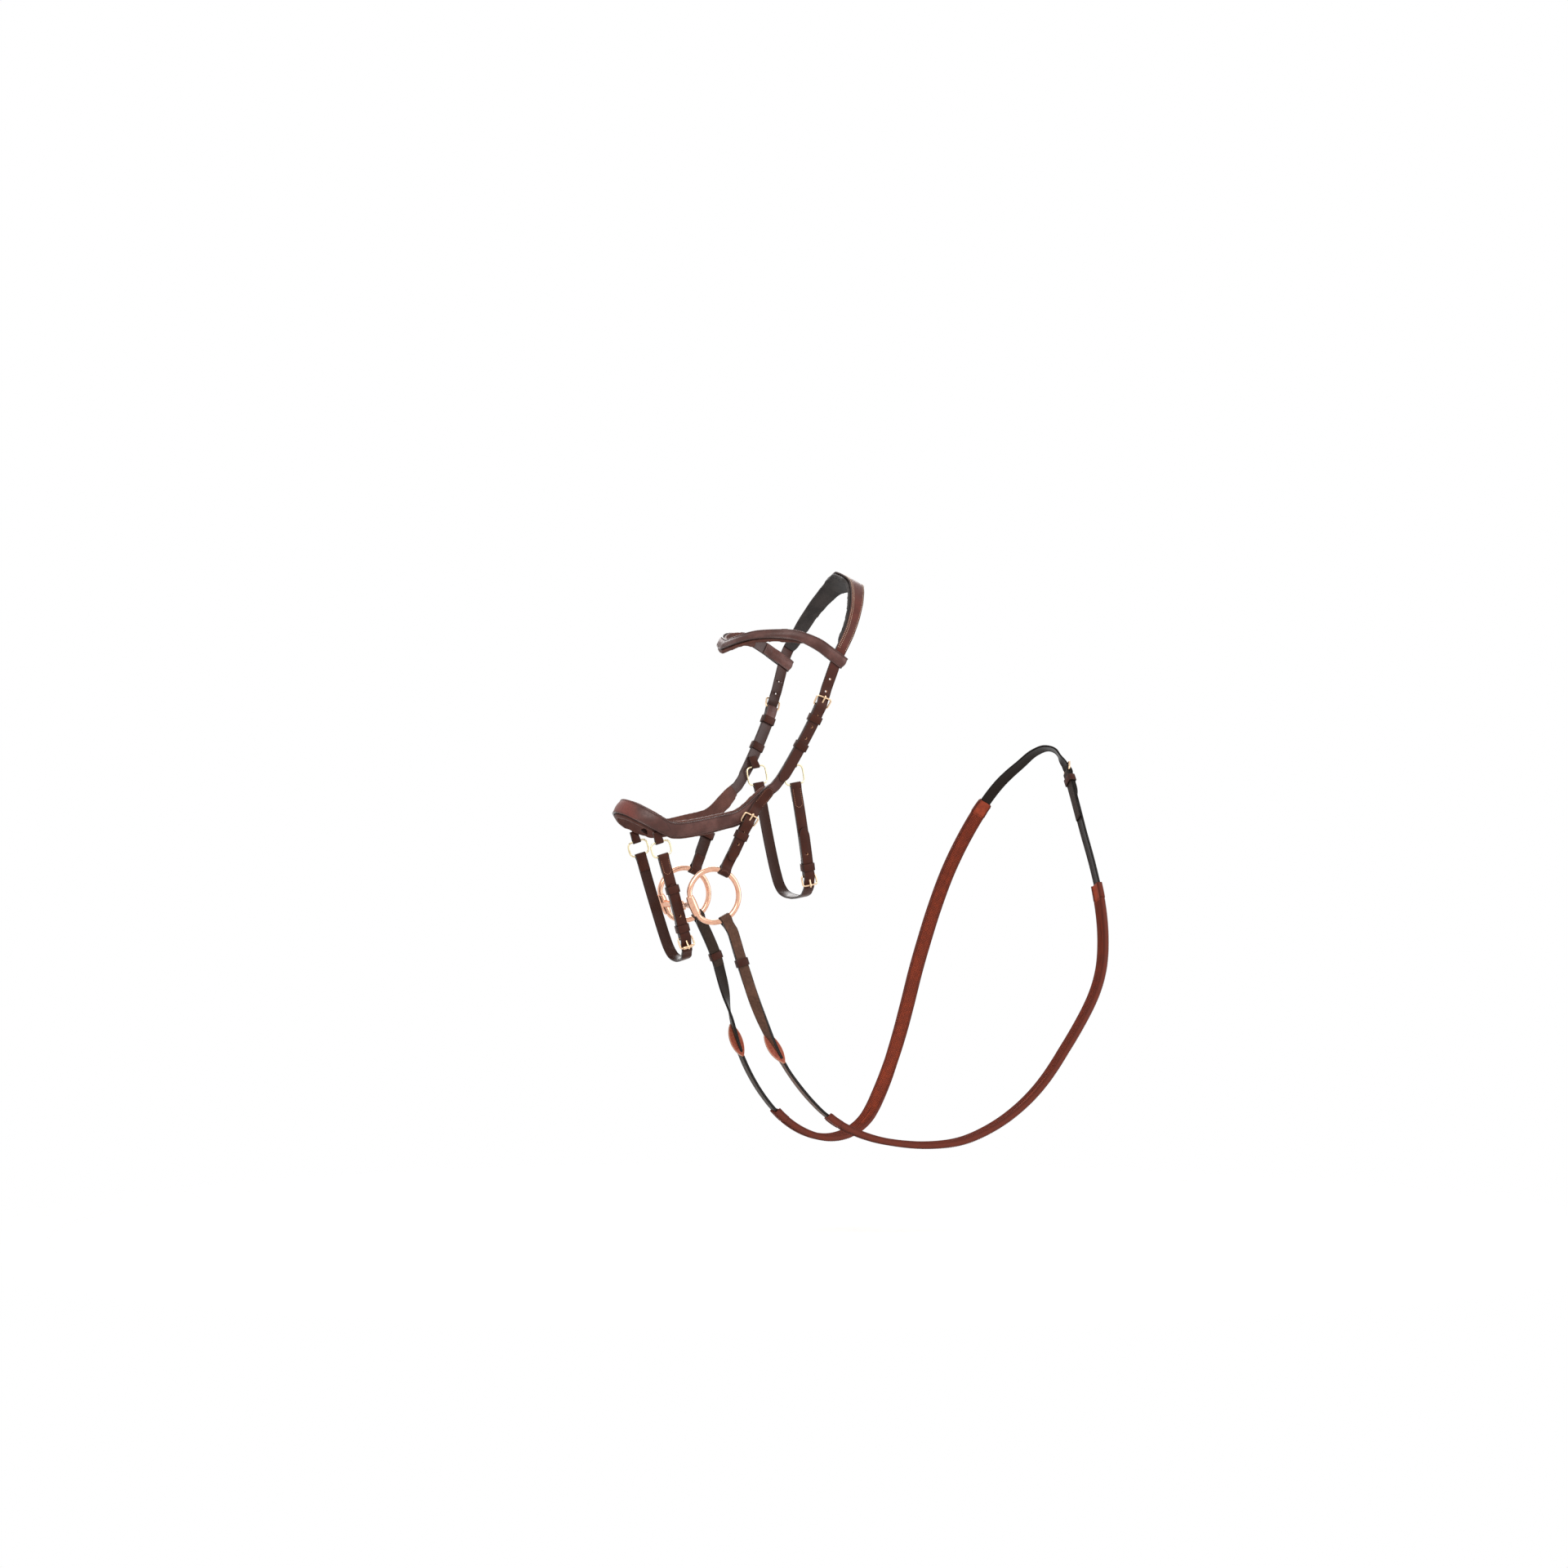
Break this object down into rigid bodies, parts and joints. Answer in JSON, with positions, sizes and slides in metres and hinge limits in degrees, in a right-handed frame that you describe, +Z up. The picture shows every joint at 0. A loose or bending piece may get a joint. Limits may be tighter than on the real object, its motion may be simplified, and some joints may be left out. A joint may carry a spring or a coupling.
{
  "type": "horse bridle",
  "caption": "Anatomic bridle with padded crown, wave browband, low padded noseband, chin and jaw straps, eggbutt snaffle and rubber-grip reins.",
  "frame": {"origin": "under the middle of the padded crown, where it rests on the poll of the horse", "axes": "+Z up, -X towards the nose, -Y to the near side of the horse; the head leans forward, so the cheekpieces run down and forward"},
  "size_m": [0.7176, 0.327, 0.8454],
  "materials": {
    "crown_leather": "smooth red-brown bridle leather, edge stained dark, satin",
    "noseband_leather": "soft padded bridle leather, dark red-brown, low satin",
    "browband_leather": "soft padded bridle leather, dark brown, low satin",
    "strap_leather": "dark brown bridle leather, waxed satin",
    "pad_leather": "soft black-brown lining leather, dull",
    "rein_leather": "dark brown bridle leather, worn satin",
    "stop_leather": "tan red leather, dull",
    "rubber": "red-brown ribbed rubber, dull",
    "pale_metal": "pale rose-gold plated brass, polished",
    "ring_metal": "pale gold plated brass, polished",
    "bit_metal": "copper-toned bit metal, polished"
  },
  "bodies": {
    "headstall": {"browband": "browband_leather", "browband_pad": "pad_leather", "headpiece": "crown_leather", "headpiece_pad": "pad_leather", "near_bit_billet": "strap_leather", "near_bit_buckle": "pale_metal", "near_bit_hanger": "strap_leather", "near_bit_keeper": "strap_leather", "near_cheek_buckle": "pale_metal", "near_cheek_keeper": "strap_leather", "near_chin_chape": "strap_leather", "near_jaw_chape": "strap_leather", "near_rein": "rein_leather", "near_rein_grip": "rubber", "near_rein_keeper": "strap_leather", "near_rein_stop": "stop_leather", "noseband": "noseband_leather", "noseband_pad": "pad_leather", "off_bit_billet": "strap_leather", "off_bit_buckle": "pale_metal", "off_bit_hanger": "strap_leather", "off_bit_keeper": "strap_leather", "off_cheek_buckle": "pale_metal", "off_cheek_keeper": "strap_leather", "off_chin_chape": "strap_leather", "off_jaw_chape": "strap_leather", "off_rein": "rein_leather", "off_rein_grip": "rubber", "off_rein_keeper": "strap_leather", "off_rein_stop": "stop_leather", "rein_buckle": "pale_metal", "rein_centre_keeper": "strap_leather"},
    "near_cheek_tongue_part": {"near_cheek_tongue": "pale_metal"},
    "off_cheek_tongue_part": {"off_cheek_tongue": "pale_metal"},
    "near_bit_tongue_part": {"near_bit_tongue": "pale_metal"},
    "off_bit_tongue_part": {"off_bit_tongue": "pale_metal"},
    "rein_tongue_part": {"rein_tongue": "pale_metal"},
    "near_cheek_runner_part": {"near_cheek_runner": "strap_leather"},
    "off_cheek_runner_part": {"off_cheek_runner": "strap_leather"},
    "near_bit_ring_part": {"near_bit_ring": "bit_metal"},
    "off_bit_ring_part": {"off_bit_ring": "bit_metal"},
    "near_bit_arm_part": {"near_bit_arm": "bit_metal"},
    "off_bit_arm_part": {"off_bit_arm": "bit_metal"},
    "bit_lozenge_part": {"bit_lozenge": "bit_metal"},
    "near_chin_ring_part": {"near_chin_ring": "ring_metal"},
    "off_chin_ring_part": {"off_chin_ring": "ring_metal"},
    "chin_loop_part": {"chin_strap": "strap_leather", "chin_billet": "strap_leather", "chin_buckle": "pale_metal", "chin_keeper": "strap_leather"},
    "chin_tongue_part": {"chin_tongue": "pale_metal"},
    "chin_roller_part": {"chin_roller": "pale_metal"},
    "chin_runner_part": {"chin_runner": "strap_leather"},
    "near_jaw_ring_part": {"near_jaw_ring": "ring_metal"},
    "off_jaw_ring_part": {"off_jaw_ring": "ring_metal"},
    "jaw_loop_part": {"jaw_strap": "strap_leather", "jaw_billet": "strap_leather", "jaw_buckle": "pale_metal", "jaw_keeper": "strap_leather"},
    "jaw_tongue_part": {"jaw_tongue": "pale_metal"}
  },
  "joints": [
    {"name": "near_cheek_tongue_lift", "type": "hinge", "parent": "headstall", "child": "near_cheek_tongue_part", "pos_m": [-0.07855, -0.09334, -0.18261], "axis": [0.9342, -0.0392, -0.3545], "range_deg": [0, 16]},
    {"name": "near_bit_tongue_lift", "type": "hinge", "parent": "headstall", "child": "near_bit_tongue_part", "pos_m": [-0.18314, -0.07074, -0.35207], "axis": [0.8998, -0.0269, -0.4356], "range_deg": [0, 16]},
    {"name": "near_cheek_runner_slide", "type": "slide", "parent": "headstall", "child": "near_cheek_runner_part", "axis": [-0.4595, 0.1408, -0.8769], "range_m": [-0.012, 0.008]},
    {"name": "off_cheek_tongue_lift", "type": "hinge", "parent": "headstall", "child": "off_cheek_tongue_part", "pos_m": [-0.07855, 0.09334, -0.18261], "axis": [-0.9342, -0.0392, 0.3545], "range_deg": [0, 16]},
    {"name": "off_bit_tongue_lift", "type": "hinge", "parent": "headstall", "child": "off_bit_tongue_part", "pos_m": [-0.18314, 0.07074, -0.35207], "axis": [-0.8998, -0.0269, 0.4356], "range_deg": [0, 16]},
    {"name": "off_cheek_runner_slide", "type": "slide", "parent": "headstall", "child": "off_cheek_runner_part", "axis": [-0.4595, -0.1408, -0.8769], "range_m": [-0.012, 0.008]},
    {"name": "rein_tongue_lift", "type": "hinge", "parent": "headstall", "child": "rein_tongue_part", "pos_m": [0.34902, -0.02322, -0.27802], "axis": [-0.0006, 0.761, -0.6487], "range_deg": [0, 16]},
    {"name": "near_bit_ring_turn", "type": "hinge", "parent": "headstall", "child": "near_bit_ring_part", "pos_m": [-0.2302, -0.06012, -0.45584], "axis": [0, -1, 0], "range_deg": [-5, 5]},
    {"name": "off_bit_ring_turn", "type": "hinge", "parent": "headstall", "child": "off_bit_ring_part", "pos_m": [-0.2302, 0.06012, -0.45584], "axis": [0, -1, 0], "range_deg": [-5, 5]},
    {"name": "near_bit_arm_swing", "type": "hinge", "parent": "near_bit_ring_part", "child": "near_bit_arm_part", "pos_m": [-0.26176, -0.06012, -0.46989], "axis": [-0.4067, 0, 0.9135], "range_deg": [-5, 5]},
    {"name": "bit_lozenge_swing", "type": "hinge", "parent": "near_bit_arm_part", "child": "bit_lozenge_part", "pos_m": [-0.26176, -0.01285, -0.46989], "axis": [-0.4067, 0, 0.9135], "range_deg": [-5, 5]},
    {"name": "off_bit_arm_swing", "type": "hinge", "parent": "off_bit_ring_part", "child": "off_bit_arm_part", "pos_m": [-0.26176, 0.06012, -0.46989], "axis": [-0.4067, 0, 0.9135], "range_deg": [-5, 5]},
    {"name": "near_chin_ring_swing", "type": "hinge", "parent": "headstall", "child": "near_chin_ring_part", "pos_m": [-0.30934, -0.0471, -0.37805], "axis": [-0.9586, 0, -0.2848], "range_deg": [-6, 6]},
    {"name": "chin_loop_swing", "type": "hinge", "parent": "near_chin_ring_part", "child": "chin_loop_part", "pos_m": [-0.30336, -0.0471, -0.39818], "axis": [-0.9586, 0, -0.2848], "range_deg": [-6, 6]},
    {"name": "off_chin_ring_swing", "type": "hinge", "parent": "headstall", "child": "off_chin_ring_part", "pos_m": [-0.30934, 0.0471, -0.37805], "axis": [-0.9586, 0, -0.2848], "range_deg": [-6, 6]},
    {"name": "chin_tongue_lift", "type": "hinge", "parent": "chin_loop_part", "child": "chin_tongue_part", "pos_m": [-0.26854, -0.04115, -0.51537], "axis": [-0.9586, 0, -0.2848], "range_deg": [0, 10]},
    {"name": "near_jaw_ring_swing", "type": "hinge", "parent": "headstall", "child": "near_jaw_ring_part", "pos_m": [-0.11319, -0.07232, -0.26887], "axis": [-0.984, 0, -0.178], "range_deg": [-4, 4]},
    {"name": "jaw_loop_swing", "type": "hinge", "parent": "near_jaw_ring_part", "child": "jaw_loop_part", "pos_m": [-0.10838, -0.07232, -0.29544], "axis": [-0.984, 0, -0.178], "range_deg": [-4, 4]},
    {"name": "off_jaw_ring_swing", "type": "hinge", "parent": "headstall", "child": "off_jaw_ring_part", "pos_m": [-0.11319, 0.07232, -0.26887], "axis": [-0.984, 0, -0.178], "range_deg": [-4, 4]},
    {"name": "jaw_tongue_lift", "type": "hinge", "parent": "jaw_loop_part", "child": "jaw_tongue_part", "pos_m": [-0.08456, -0.06276, -0.42715], "axis": [-0.984, 0, -0.178], "range_deg": [0, 16]},
    {"name": "chin_roller_spin", "type": "hinge", "parent": "chin_loop_part", "child": "chin_roller_part", "pos_m": [-0.26435, -0.04513, -0.52944], "axis": [0.9586, 0, 0.2848], "continuous": true},
    {"name": "chin_runner_slide", "type": "slide", "parent": "chin_loop_part", "child": "chin_runner_part", "axis": [0.2847, 0.0362, -0.9579], "range_m": [-0.002, 0.008]}
  ],
  "couplings": [
    {"joint": "off_bit_ring_turn", "follows": "near_bit_ring_turn", "ratio": 1},
    {"joint": "off_bit_arm_swing", "follows": "near_bit_arm_swing", "ratio": -1},
    {"joint": "bit_lozenge_swing", "follows": "near_bit_arm_swing", "ratio": -1},
    {"joint": "chin_loop_swing", "follows": "near_chin_ring_swing", "ratio": -1},
    {"joint": "off_chin_ring_swing", "follows": "near_chin_ring_swing", "ratio": 1},
    {"joint": "jaw_loop_swing", "follows": "near_jaw_ring_swing", "ratio": -1},
    {"joint": "off_jaw_ring_swing", "follows": "near_jaw_ring_swing", "ratio": 1}
  ]
}
